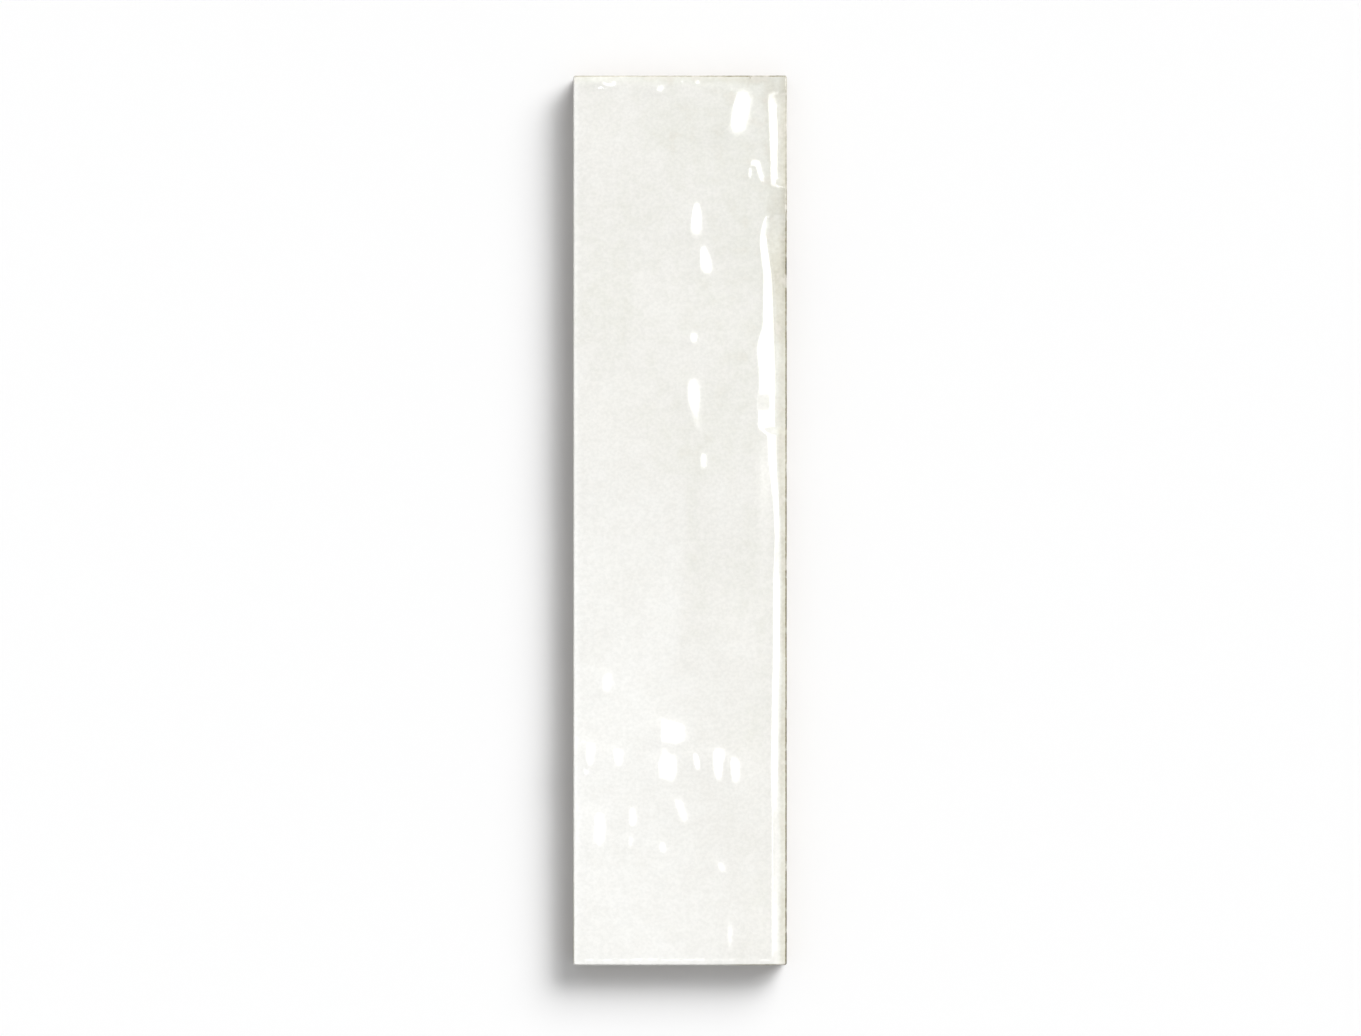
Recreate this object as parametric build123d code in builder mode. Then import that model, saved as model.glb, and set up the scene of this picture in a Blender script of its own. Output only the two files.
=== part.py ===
from build123d import *

import os
from math import cos, pi, radians, sin

# Glazed ceramic wall tile, pressed and fired as one piece. It lies on its back:
# X runs across the width, Y along the length and Z up out of the glazed face.
# The origin is the middle of the back, on the plane of its ribs.

# Outline and thickness, in millimetres
tile_width = 60.0
tile_length = 250.0
face_level = 9.3  # ribs of the back to the middle level of the face
corner_radius = 0.6  # upright corners, seen from above
arris_radius = 0.4  # edge between the face and the sides

# Sides: drafted over the lower part, upright above it
draft_height = 5.0
side_draft = 1.5  # degrees
back_chamfer = 0.4

# Cushioned rim, where the face rolls off towards three of its sides
rim_width = 4.0
rim_drop = 0.4
rim_power = 3.2

# Right-hand long rim, which rolls off further
roll_width = 6.5
roll_drop = 1.05
roll_power = 2.0

# Hand-formed face: a crown across the width and three trains of waves
crown_rise = 0.15
swell_height = 0.12
swell_length = 92.0  # crest to crest along the tile
ripple_height = 0.06
ripple_length = 41.0  # crest to crest along the tile
ripple_lean = 130.0  # width over which a ripple's crest slips by one wave
furrow_height = 0.03
furrow_pitch = 26.0  # crest to crest across the tile
furrow_drift = 340.0  # length over which a furrow's crest slips by one wave

# Lattice of ribs on the back, which keys the tile into its adhesive
rib_height = 0.7
rib_width = 2.2
back_border = 4.5
pocket_pitch = 13.0  # nearest pitch; whole pockets fill the back
pocket_draft = 30.0  # degrees

# The face is fitted to points on this many lines, closest together at the rim
lines_across = 33
lines_along = 65
face_overhang = 1.5


def roll_off(inset, width, drop, power):
    """Drop of a rim at a distance inside the outline."""
    return drop * max(0.0, 1 - inset / width) ** power


def wave(height, turns):
    """Height of a wave train after a number of whole waves."""
    return height * sin(2 * pi * turns)


def face_height(x, y):
    """Height of the glazed face above the back."""
    crown = -crown_rise * (2 * x / tile_width) ** 2
    swell = wave(swell_height, y / swell_length)
    ripple = wave(ripple_height, y / ripple_length + x / ripple_lean)
    furrow = wave(furrow_height, x / furrow_pitch + y / furrow_drift)
    ends = roll_off(tile_length / 2 - abs(y), rim_width, rim_drop, rim_power)
    left = roll_off(tile_width / 2 + x, rim_width, rim_drop, rim_power)
    right = roll_off(tile_width / 2 - x, roll_width, roll_drop, roll_power)
    return face_level + crown + swell + ripple + furrow - ends - left - right


def lines(span, count):
    """Places of the face's lines over a span, crowding towards both ends."""
    half = span / 2 + face_overhang
    return [-half * cos(radians(180 * i / (count - 1))) for i in range(count)]


glazed_face = Face.make_surface_from_array_of_points(
    [
        [(x, y, face_height(x, y)) for y in lines(tile_length, lines_along)]
        for x in lines(tile_width, lines_across)
    ],
    tol=0.001,
    min_deg=3,
)

# Whole pockets across and along the back, and the clear size of each
lattice_width = tile_width - 2 * back_border + rib_width
lattice_length = tile_length - 2 * back_border + rib_width
columns = round(lattice_width / pocket_pitch)
rows = round(lattice_length / pocket_pitch)
pitch_across = lattice_width / columns
pitch_along = lattice_length / rows

with BuildPart() as wall_tile:
    # Blank: drafted below, upright above, taller than the face
    with BuildSketch(Plane.XY.offset(draft_height)) as outline:
        RectangleRounded(tile_width, tile_length, corner_radius)
    extrude(amount=-draft_height, taper=side_draft)
    extrude(outline.sketch, amount=face_level)

    # Wavy face with its rolled rim, and the soft arris round it
    split(bisect_by=glazed_face, keep=Keep.BOTTOM)
    fillet(wall_tile.faces().sort_by(Axis.Z)[-1].edges(), radius=arris_radius)

    # Back: chamfered edge and a lattice of ribs left between pockets
    back = wall_tile.faces().sort_by(Axis.Z)[0]
    chamfer(back.edges(), length=back_chamfer)
    with BuildSketch(Plane.XY):
        with GridLocations(pitch_across, pitch_along, columns, rows):
            Rectangle(pitch_across - rib_width, pitch_along - rib_width)
    extrude(amount=rib_height, taper=pocket_draft, mode=Mode.SUBTRACT)

wall_tile.part.label = "wall_tile"
os.makedirs("parts", exist_ok=True)
export_step(wall_tile.part, "parts/wall_tile.step")
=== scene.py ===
"""Looks of a glazed ceramic wall tile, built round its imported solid.

The tile lies on its ribbed back with the glazed face up, and the camera looks straight down
on it. X runs across the width, Y along the length and Z up. Sizes of the tile are in
millimetres and become metres as its mesh is made; the studio round it is in metres.
"""

import logging
import math
from dataclasses import dataclass, field
from enum import Enum

import bpy
import numpy as np
from numpy.typing import NDArray
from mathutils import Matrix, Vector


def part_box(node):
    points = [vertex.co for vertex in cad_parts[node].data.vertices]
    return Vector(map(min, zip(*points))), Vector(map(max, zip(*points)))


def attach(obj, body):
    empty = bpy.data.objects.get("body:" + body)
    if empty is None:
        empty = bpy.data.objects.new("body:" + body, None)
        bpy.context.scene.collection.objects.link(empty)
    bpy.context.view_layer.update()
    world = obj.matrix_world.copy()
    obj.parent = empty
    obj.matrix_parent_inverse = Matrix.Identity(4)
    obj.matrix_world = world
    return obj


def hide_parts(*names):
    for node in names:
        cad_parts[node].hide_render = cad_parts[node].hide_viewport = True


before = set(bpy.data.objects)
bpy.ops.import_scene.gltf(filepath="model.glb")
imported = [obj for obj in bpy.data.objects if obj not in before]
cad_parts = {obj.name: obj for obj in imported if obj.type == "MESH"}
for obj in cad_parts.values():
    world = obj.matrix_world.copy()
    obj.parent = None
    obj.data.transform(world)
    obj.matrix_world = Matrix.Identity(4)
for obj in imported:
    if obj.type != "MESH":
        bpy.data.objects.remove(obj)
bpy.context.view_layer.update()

Grid = NDArray[np.float64]
Numbers = NDArray[np.int64]
Colour = tuple[float, float, float]
Span = tuple[float, float]  # where a smooth change starts and where it is complete

WHOLE: Span = (0.0, 1.0)

MM = 0.001
NODE = "wall_tile"
BODY = "root"
# the thinness below also holds painted shade on rims facing the key light, a painted reflection edge
# and the face's broad lighter and darker parts
THIN_GLAZE_AND_SHADE = "thin_glaze_and_shade"  # mesh attribute: 0 where the glaze is thick, 1 where it is bare
DULL_GLAZE = "dull_glaze"  # mesh attribute: 0 where the glaze is glossy, 1 where it is dull

log = logging.getLogger("wall_tile")


class Skin(Enum):
    """The two surfaces of the tile, by their place in its list of materials."""

    GLAZE = 0
    BISCUIT = 1


def ease(start: float, end: float, value: Grid) -> Grid:
    """Smooth step from 0 at start to 1 at end, which may lie below start."""
    share = np.clip((value - start) / (end - start), 0.0, 1.0)
    return share * share * (3.0 - 2.0 * share)


def smooth_line(places: Grid, levels: Grid, at: Grid) -> Grid:
    """Runs smoothly through the levels, with no overshoot between them.

    Args:
        places: where the levels are reached, rising.
        levels: the level at each place.
        at: where the line is wanted.

    Returns:
        The level at each wanted place.
    """
    gaps = np.diff(places)
    rises = np.diff(levels) / gaps
    before, after = rises[:-1], rises[1:]
    same_way = before * after > 0.0
    sums = np.where(same_way, before + after, 1.0)
    inner = np.where(same_way, 2.0 * before * after / sums, 0.0)
    slopes = np.concatenate([rises[:1], inner, rises[-1:]])
    span = np.clip(np.searchsorted(places, at) - 1, 0, len(gaps) - 1)
    share = (at - places[span]) / gaps[span]
    rest = 1.0 - share
    from_low = levels[span] * (1.0 + 2.0 * share) + slopes[span] * gaps[span] * share
    from_high = levels[span + 1] * (1.0 + 2.0 * rest) - slopes[span + 1] * gaps[span] * rest
    return from_low * rest**2 + from_high * share**2


@dataclass(frozen=True)
class Waver:
    """An uneven line: a few sine waves of seeded length and phase."""

    size: float
    longest: float
    shortest: float
    seed: int
    waves: int = 7

    def along(self, place: Grid) -> Grid:
        """Offset of the line at each place along it.

        Args:
            place: places along the line.

        Returns:
            The offset at each place.
        """
        draw = np.random.default_rng(self.seed)
        lengths = np.geomspace(self.longest, self.shortest, self.waves)
        total = np.zeros_like(place)
        for length in lengths:
            stretch = draw.uniform(0.85, 1.15)
            phase = draw.uniform(0.0, 2.0 * np.pi)
            total += np.sin(2.0 * np.pi * place / (length * stretch) + phase)
        return self.size * total / math.sqrt(self.waves)


@dataclass(frozen=True)
class WaveTrain:
    """One train of long waves over the glazed face, in waves per millimetre."""

    height: float
    across: float
    along: float

    def level(self, x: Grid, y: Grid) -> Grid:
        """Height of the waves at each point."""
        return self.height * np.sin(2.0 * np.pi * (x * self.across + y * self.along))


@dataclass(frozen=True)
class Dab:
    """A low swelling left in the face by hand.

    Its right flank catches the light. x and y are the middle of that flank, and width and
    length the part of it that shines.
    """

    x: float
    y: float
    width: float
    length: float
    steepness: float
    lean: float = 0.0  # sideways slip of the flank per millimetre of length
    taper: float = 0.0  # share by which the flank narrows from its middle to its upper end

    FLANK_SHARE = 1.47  # shining width, in spreads of the flank
    FLANK_MIDDLE = 1.12  # middle of the flank from the crest, in spreads
    LENGTH_SHARE = 1.58  # shining length, in spreads along it
    ENDS_POWER = 3.6  # how squarely the flank ends
    STEEPEST = 0.607  # steepest slope of a bell curve, for a height and a spread of one

    def level(self, x: Grid, y: Grid) -> Grid:
        """Height of the swelling at each point.

        Args:
            x: places across the tile.
            y: places along the tile.

        Returns:
            The height at each point.
        """
        along = y - self.y
        spread = self.width / self.FLANK_SHARE
        narrowed = spread * (1.0 - self.taper * np.clip(2.0 * along / self.length, -1.0, 1.0))
        across = (x - self.x - self.lean * along) / narrowed + self.FLANK_MIDDLE
        ends = np.abs(along * self.LENGTH_SHARE / self.length) ** self.ENDS_POWER
        height = self.steepness * spread / self.STEEPEST
        return height * np.exp(-0.5 * across**2 - ends)


@dataclass(frozen=True)
class RimKnot:
    """Roll of the right-hand rim at one place along the tile.

    The roll starts at a distance inside the outline. Its slope grows evenly over the width of
    the bend and stays full from there to the arris.
    """

    y: float
    start: float
    bend: float
    slope: float


@dataclass(frozen=True)
class Outline:
    """The tile's outline from above: a rectangle with small round corners."""

    width: float
    length: float
    corner_radius: float = 0.6

    def past_straight(self, x: Grid, y: Grid) -> tuple[Grid, Grid]:
        """How far each point lies past the rectangle of the corners' centres.

        Args:
            x: places across the tile.
            y: places along the tile.

        Returns:
            The distance past it across and the distance past it along, or 0 inside it.
        """
        past_x = np.abs(x) - (self.width / 2 - self.corner_radius)
        past_y = np.abs(y) - (self.length / 2 - self.corner_radius)
        return np.maximum(past_x, 0.0), np.maximum(past_y, 0.0)

    def rounded(self, x: Grid, y: Grid) -> tuple[Grid, Grid]:
        """Draws the square corners of a grid in to the round ones.

        Args:
            x: places of the grid's points across the tile.
            y: places of the grid's points along the tile.

        Returns:
            The new places, the same outside the corners.
        """
        past_x, past_y = self.past_straight(x, y)
        share_x = past_x / self.corner_radius
        share_y = past_y / self.corner_radius
        pull_x = past_x * (1.0 - np.sqrt(1.0 - share_y**2 / 2))
        pull_y = past_y * (1.0 - np.sqrt(1.0 - share_x**2 / 2))
        return x - np.sign(x) * pull_x, y - np.sign(y) * pull_y

    def inset(self, x: Grid, y: Grid) -> Grid:
        """Distance of each point inside the outline.

        Args:
            x: places across the tile.
            y: places along the tile.

        Returns:
            The distance at each point.
        """
        past_x, past_y = self.past_straight(x, y)
        past = np.hypot(past_x, past_y)
        straight = np.minimum(self.width / 2 - np.abs(x), self.length / 2 - np.abs(y))
        return np.where(past > 0.0, self.corner_radius - past, straight)

    def outward(self, x: Grid, y: Grid) -> tuple[Grid, Grid]:
        """Unit direction out of the outline at points on it.

        Args:
            x: places across the tile.
            y: places along the tile.

        Returns:
            The parts of the direction across and along.
        """
        past_x, past_y = self.past_straight(x, y)
        past = np.hypot(past_x, past_y)
        return np.sign(x) * past_x / past, np.sign(y) * past_y / past


@dataclass(frozen=True)
class GlazedFace:
    """The wavy, hand-formed face with its cushioned rim and soft arris."""

    outline: Outline
    level: float = 9.3
    arris_radius: float = 0.4
    rim_width: float = 4.0
    rim_drop: float = 0.4
    rim_power: float = 3.2
    crown_rise: float = 0.15
    trains: tuple[WaveTrain, ...] = (
        WaveTrain(0.12, 0.0, 1 / 92.0),
        WaveTrain(0.06, 1 / 130.0, 1 / 41.0),
        WaveTrain(0.03, 1 / 26.0, 1 / 340.0),
    )
    right_rim: tuple[RimKnot, ...] = (
        RimKnot(-125.0, 4.2, 3.7, 0.36),
        RimKnot(-101.0, 4.4, 4.2, 0.36),
        RimKnot(-84.0, 4.4, 3.9, 0.36),
        RimKnot(-67.0, 4.5, 4.0, 0.36),
        RimKnot(-50.0, 4.4, 4.3, 0.36),
        RimKnot(-33.0, 4.0, 4.0, 0.36),
        RimKnot(-17.0, 4.0, 4.0, 0.36),
        RimKnot(-5.0, 3.5, 3.1, 0.38),
        RimKnot(6.0, 3.9, 3.9, 0.45),
        RimKnot(16.0, 5.0, 5.0, 0.43),
        RimKnot(24.0, 5.6, 5.6, 0.39),
        RimKnot(26.6, 8.6, 7.4, 0.26),
        RimKnot(31.0, 8.5, 7.3, 0.26),
        RimKnot(41.0, 8.4, 7.0, 0.25),
        RimKnot(48.0, 9.0, 7.6, 0.25),
        RimKnot(56.0, 7.0, 5.0, 0.27),
        RimKnot(67.5, 6.9, 3.7, 0.25),
        RimKnot(79.0, 7.8, 2.5, 0.22),
        RimKnot(82.4, 7.2, 1.8, 0.16),
        RimKnot(84.4, 6.7, 1.3, 0.10),
        RimKnot(86.2, 6.3, 1.2, -0.012),
        RimKnot(90.0, 5.0, 2.0, -0.012),
        RimKnot(93.6, 5.2, 3.5, -0.012),
        RimKnot(94.9, 4.8, 3.5, 0.13),
        RimKnot(96.2, 4.65, 3.5, 0.27),
        RimKnot(97.5, 4.65, 3.5, 0.30),
        RimKnot(101.0, 4.7, 3.6, 0.30),
        RimKnot(107.0, 4.95, 4.1, 0.30),
        RimKnot(112.5, 5.25, 4.4, 0.30),
        RimKnot(116.3, 5.5, 4.2, 0.28),
        RimKnot(118.0, 5.6, 4.2, 0.20),
        RimKnot(119.2, 5.7, 4.2, 0.10),
        RimKnot(120.1, 5.7, 3.6, 0.035),
        RimKnot(120.8, 5.7, 3.6, -0.012),
        RimKnot(125.0, 5.7, 3.6, -0.012),
    )
    dabs: tuple[Dab, ...] = (
        Dab(-19.6, 122.9, 4.2, 2.3, 0.064),
        Dab(-5.5, 121.7, 2.8, 3.2, 0.052),
        Dab(9.8, 121.6, 1.6, 1.4, 0.038),
        Dab(14.3, 121.2, 1.2, 1.2, 0.036),
        Dab(17.1, 114.4, 5.3, 11.8, 0.045, 0.13, 0.1),
        Dab(19.9, 98.6, 1.1, 4.0, 0.050),
        Dab(21.3, 100.2, 1.7, 1.5, 0.041),
        Dab(22.5, 97.6, 1.1, 4.0, 0.040, -0.25),
        Dab(4.5, 83.8, 2.7, 8.2, 0.043, 0.03, 0.4),
        Dab(7.1, 72.9, 2.5, 6.2, 0.043, -0.14, 0.25),
        Dab(3.9, 51.3, 2.3, 2.8, 0.037),
        Dab(3.8, 36.0, 3.6, 7.6, 0.045, -0.04, -0.1),
        Dab(4.7, 28.4, 2.8, 6.0, 0.0255, -0.15),
        Dab(6.6, 16.7, 1.6, 4.2, 0.034),
        Dab(24.2, 7.0, 4.8, 44.0, 0.017),
        Dab(-20.3, -45.7, 3.8, 6.9, 0.056, 0.1),
        Dab(-0.6, -59.9, 4.6, 5.9, 0.048),
        Dab(-4.6, -60.3, 1.9, 7.0, 0.066),
        Dab(-24.2, -66.3, 5.4, 7.4, 0.070),
        Dab(-17.1, -66.9, 3.1, 5.5, 0.056),
        Dab(-2.4, -69.8, 3.8, 7.0, 0.048),
        Dab(-5.5, -70.4, 2.4, 6.4, 0.050),
        Dab(5.0, -68.1, 2.0, 4.8, 0.092, -0.15),
        Dab(11.0, -68.9, 3.0, 7.8, 0.052, -0.05),
        Dab(15.4, -70.5, 1.6, 5.4, 0.044, -0.05),
        Dab(0.8, -81.9, 3.4, 7.0, 0.048, -0.3),
        Dab(-13.2, -83.5, 2.8, 5.7, 0.058),
        Dab(-22.2, -86.8, 4.4, 10.0, 0.068, 0.05),
        Dab(-13.8, -90.3, 2.0, 3.7, 0.050),
        Dab(-4.8, -92.0, 2.2, 2.8, 0.044),
        Dab(11.8, -97.6, 2.4, 3.0, 0.039, -0.3),
        Dab(14.1, -117.0, 1.8, 6.6, 0.0355),
    )
    arris_waver: Waver = Waver(0.035, 6.0, 0.9, seed=11)
    rim_waver: Waver = Waver(0.4, 34.0, 6.0, seed=5)
    end_waver: Waver = Waver(0.8, 30.0, 5.0, seed=9)
    column_spacing: float = 0.5
    row_spacing: float = 0.6
    right_zone: float = 11.0  # width beside the right-hand rim where the columns stand closer
    right_spacing: float = 0.22
    level_corner: Span = (16.0, 24.0)  # across the upper end, where its rim stops rolling off

    ARRIS_LINES = 7  # lines of the grid over the arris
    CORNER_LINES = 3  # lines from the arris to the end of a corner

    def roll_off(self, inset: Grid, width: Grid) -> Grid:
        """Drop of a plain rim at a distance inside the outline."""
        reach = np.maximum(0.0, 1.0 - inset / width)
        return self.rim_drop * reach**self.rim_power

    def right_roll(self, inset: Grid, y: Grid) -> Grid:
        """Drop of the uneven right-hand rim at a distance inside the outline.

        Args:
            inset: distances inside the right-hand side.
            y: places along the tile.

        Returns:
            The drop at each point.
        """
        places = np.array([knot.y for knot in self.right_rim])
        start = smooth_line(places, np.array([knot.start for knot in self.right_rim]), y)
        bend = smooth_line(places, np.array([knot.bend for knot in self.right_rim]), y)
        slope = smooth_line(places, np.array([knot.slope for knot in self.right_rim]), y)
        bent = np.clip(start - inset, 0.0, bend)
        straight = np.maximum(start - bend - inset, 0.0)
        return slope * (bent**2 / (2.0 * bend) + straight)

    def height(self, x: Grid, y: Grid) -> Grid:
        """Height of the face above the back, without its arris.

        Args:
            x: places across the tile.
            y: places along the tile.

        Returns:
            The height at each point.
        """
        half_width = self.outline.width / 2
        half_length = self.outline.length / 2
        total = self.level - self.crown_rise * (x / half_width) ** 2
        for form in (*self.trains, *self.dabs):
            total = total + form.level(x, y)
        width_along = self.rim_width + self.rim_waver.along(y)
        width_across = self.rim_width + self.end_waver.along(x)
        total -= self.roll_off(half_width + x, width_along)
        level = ease(*self.level_corner, x) * (y > 0.0)
        total -= self.roll_off(half_length - np.abs(y), width_across) * (1.0 - level)
        return total - self.right_roll(half_width - x, y)

    def arris_drop(self, x: Grid, y: Grid) -> Grid:
        """Drop of the soft, slightly chipped arris.

        Args:
            x: places across the tile.
            y: places along the tile.

        Returns:
            The drop at each point, 0 inside the arris.
        """
        place = np.where(np.abs(x) / self.outline.width > np.abs(y) / self.outline.length, y, x)
        rough = self.arris_radius + self.arris_waver.along(place)
        short = np.clip(rough - self.outline.inset(x, y), 0.0, rough)
        return rough - np.sqrt(rough**2 - short**2)

    def lines(self, span: float, stretches: tuple[tuple[float, float], ...]) -> Grid:
        """Places of the grid's lines over a span, crowded round the arris at both ends.

        Args:
            span: width or length of the face.
            stretches: for each stretch between the corners, its end and its spacing.

        Returns:
            The places, from one edge to the other.
        """
        turn = np.radians(np.linspace(0.0, 90.0, self.ARRIS_LINES))
        arris = self.arris_radius * (1.0 - np.cos(turn))
        corner_radius = self.outline.corner_radius
        corner = np.linspace(self.arris_radius, corner_radius, self.CORNER_LINES)[1:]
        edge = np.concatenate([arris, corner])
        places = [edge[:-1] - span / 2]
        low = edge[-1] - span / 2
        for high, spacing in stretches:
            places.append(np.linspace(low, high, round((high - low) / spacing), endpoint=False))
            low = high
        return np.concatenate([*places, (span / 2 - edge)[::-1]])

    def surface(self) -> tuple[Grid, Grid, Grid]:
        """Points of the face on its grid, as places across, places along and heights.

        Returns:
            The places across, the places along and the heights, on one grid.
        """
        inner_x = self.outline.width / 2 - self.outline.corner_radius
        inner_y = self.outline.length / 2 - self.outline.corner_radius
        zone = inner_x - self.right_zone
        across = self.lines(
            self.outline.width, ((zone, self.column_spacing), (inner_x, self.right_spacing))
        )
        along = self.lines(self.outline.length, ((inner_y, self.row_spacing),))
        x, y = self.outline.rounded(*np.meshgrid(across, along, indexing="ij"))
        return x, y, self.height(x, y) - self.arris_drop(x, y)


@dataclass(frozen=True)
class DullSpot:
    """A spot beside the right-hand rim where the glaze has lost its gloss."""

    x: float = 23.4
    y: float = 33.1
    width: float = 3.3
    length: float = 4.2
    edge: float = 0.3  # the gloss goes over this distance either side of the outline

    def dullness(self, x: Grid, y: Grid) -> Grid:
        """How dull the glaze is.

        Args:
            x: places across the tile.
            y: places along the tile.

        Returns:
            A share from 0, glossy, to 1, dull.
        """
        past_x = np.abs(x - self.x) - self.width / 2
        past_y = np.abs(y - self.y) - self.length / 2
        return ease(self.edge, -self.edge, past_x) * ease(self.edge, -self.edge, past_y)


@dataclass(frozen=True)
class PaintedReflectionEdge:
    """A painted reflection: a soft edge that wanders down the middle of the face, darker on its right
    and lighter on its left, put into the glaze's thinness.
    """

    x: float = -0.2
    y: float = -5.5
    swing: float = 1.9
    swing_length: float = 16.0  # for each radian of the swing
    softness: float = 1.6
    darker_share: float = 0.06
    darker_reach: Span = (8.5, 2.0)  # distances past the line
    lighter_share: float = 0.03
    lighter_reach: Span = (-14.0, -3.0)
    upper_end: Span = (22.0, 4.0)
    lower_end: Span = (-50.0, -30.0)

    def thinness(self, x: Grid, y: Grid) -> Grid:
        """How much the painted reflection edge darkens or lightens the face beside the line.

        Args:
            x: places across the tile.
            y: places along the tile.

        Returns:
            What is added to the glaze's thinness, above 0 on the painted darker side and below 0 on
            the lighter side.
        """
        past = x - self.x - self.swing * np.cos((y - self.y) / self.swing_length)
        right = self.darker_share * ease(-self.softness, self.softness, past)
        left = self.lighter_share * ease(self.softness, -self.softness, past)
        beside = right * ease(*self.darker_reach, past) - left * ease(*self.lighter_reach, past)
        return beside * ease(*self.upper_end, y) * ease(*self.lower_end, y)


@dataclass(frozen=True)
class ArrisDarkening:
    """How far one arris is darkened towards the bare glaze colour: a share, and what is added to it
    over spans along the arris.
    """

    bare: float
    added: tuple[tuple[float, Span], ...]

    def along(self, place: Grid) -> Grid:
        """Darkening at each place along the arris."""
        return self.bare + sum(share * ease(*span, place) for share, span in self.added)


@dataclass(frozen=True)
class GlazeLieAndShade:
    """How thin the glaze lies over the face, as shares from 0, thick, to 1, bare, with painted shade
    and a painted reflection edge in them.

    The face is made lighter towards the lower left and darker towards the upper right. The glaze draws
    off the rims, most on the right, where the rims that face the key light are also darkened as
    painted shade; the arrises are darkened, most on the right.
    """

    face: GlazedFace
    usual: float = 0.25
    right: Span = (-12.0, 27.0)  # places across
    upper: Span = (-20.0, 110.0)  # places along
    upper_darkening: float = 0.03
    upper_right_darkening: float = 0.06
    lower_lightening: float = 0.16
    lower_lightening_across: Span = (28.0, -8.0)
    lower_lightening_along: Span = (32.0, -80.0)
    left_lightening: float = 0.05
    left_lightening_across: Span = (6.0, -28.0)
    left_lightening_along: Span = (90.0, 10.0)
    # Rims on the right that tilt towards the key light, across or along the tile, are darkened: partly
    # thin glaze, partly painted shade that offsets that light.
    steep: Span = (0.15, 0.28)  # slopes of a rim
    steep_along: float = 0.6  # what a slope along the tile counts against one across it
    rim_thin_and_shade: float = 0.27
    rim_kept: float = 0.06  # less of the rim is drawn off towards the upper end
    rim_kept_along: Span = (20.0, 60.0)
    band_thin: float = 0.14  # wide band beside the upper part of the right-hand side
    band_inset: Span = (8.0, 3.5)
    band_along: Span = (10.0, 60.0)
    side_thin: float = 0.10  # narrow strip beside the whole right-hand side
    side_inset: Span = (2.6, 0.5)
    top_thin: float = 0.13  # narrow strip beside the upper end
    top_inset: Span = (3.5, 0.8)
    arris_inset: Span = (0.55, 0.12)
    left_arris: ArrisDarkening = ArrisDarkening(0.25, ((0.25, (-80.0, -115.0)),))
    lower_arris: ArrisDarkening = ArrisDarkening(0.24, ((0.50, (0.0, 29.0)),))
    # The upper arris faces the key light; its darkening is partly painted shade against that light.
    upper_arris_and_shade: ArrisDarkening = ArrisDarkening(0.66, ((0.14, (-12.0, 27.0)),))
    right_arris: ArrisDarkening = ArrisDarkening(0.68, ((0.20, (120.0, 40.0)), (0.12, (-40.0, -110.0))))
    reflection_edge: PaintedReflectionEdge = PaintedReflectionEdge()

    SLOPE_STEP = 0.05  # distance over which a slope is measured

    def steepness(self, x: Grid, y: Grid) -> Grid:
        """Where the face is as steep as a rim, on its right: there it is darkened, partly as painted
        shade.

        Args:
            x: places across the tile.
            y: places along the tile.

        Returns:
            A share from 0, level, to 1, steep.
        """
        step = self.SLOPE_STEP
        height = self.face.height
        across = (height(x - step, y) - height(x + step, y)) / (2 * step)
        along = np.abs(height(x, y - step) - height(x, y + step)) / (2 * step)
        steepest = np.maximum(across, self.steep_along * along)
        return ease(*self.steep, steepest) * ease(*self.right, x)

    def lightened(self, x: Grid, y: Grid) -> Grid:
        """How much lighter the face is made towards the lower left and the left.

        Args:
            x: places across the tile.
            y: places along the tile.

        Returns:
            What is taken from the glaze's thinness.
        """
        lower = ease(*self.lower_lightening_along, y) * ease(*self.lower_lightening_across, x)
        left = ease(*self.left_lightening_across, x) * ease(*self.left_lightening_along, y)
        return self.lower_lightening * lower + self.left_lightening * left

    def thinness(self, x: Grid, y: Grid) -> Grid:
        """How thin the glaze lies at each point.

        Args:
            x: places across the tile.
            y: places along the tile.

        Returns:
            A share from 0, thick, to 1, bare.
        """
        half_width = self.face.outline.width / 2
        half_length = self.face.outline.length / 2
        steep = self.steepness(x, y)
        # darkening of the steep right-hand rims, partly painted shade
        rim = (self.rim_thin_and_shade - self.rim_kept * ease(*self.rim_kept_along, y)) * steep
        band = self.band_thin * ease(*self.band_inset, half_width - x) * ease(*self.band_along, y)
        side = self.side_thin * ease(*self.side_inset, half_width - x)
        top = self.top_thin * ease(*self.top_inset, half_length - y)
        drawn = np.maximum.reduce([rim, band + side, top])
        thin = self.usual - self.lightened(x, y) * (1.0 - steep) + drawn
        # darker towards the upper end, most on the right
        thin += (self.upper_darkening + self.upper_right_darkening * ease(*self.right, x)) * ease(*self.upper, y)
        # painted reflection: a soft edge down the middle of the face, darker on its right
        thin += self.reflection_edge.thinness(x, y)
        edges = (
            (half_width + x, self.left_arris.along(y)),
            (half_length + y, self.lower_arris.along(x)),
            (half_length - y, self.upper_arris_and_shade.along(x)),
            (half_width - x, self.right_arris.along(y)),
        )
        for inset, bared in edges:
            thin += ease(*self.arris_inset, inset) * (bared - thin)
        return np.clip(thin, 0.0, 1.0)


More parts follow.
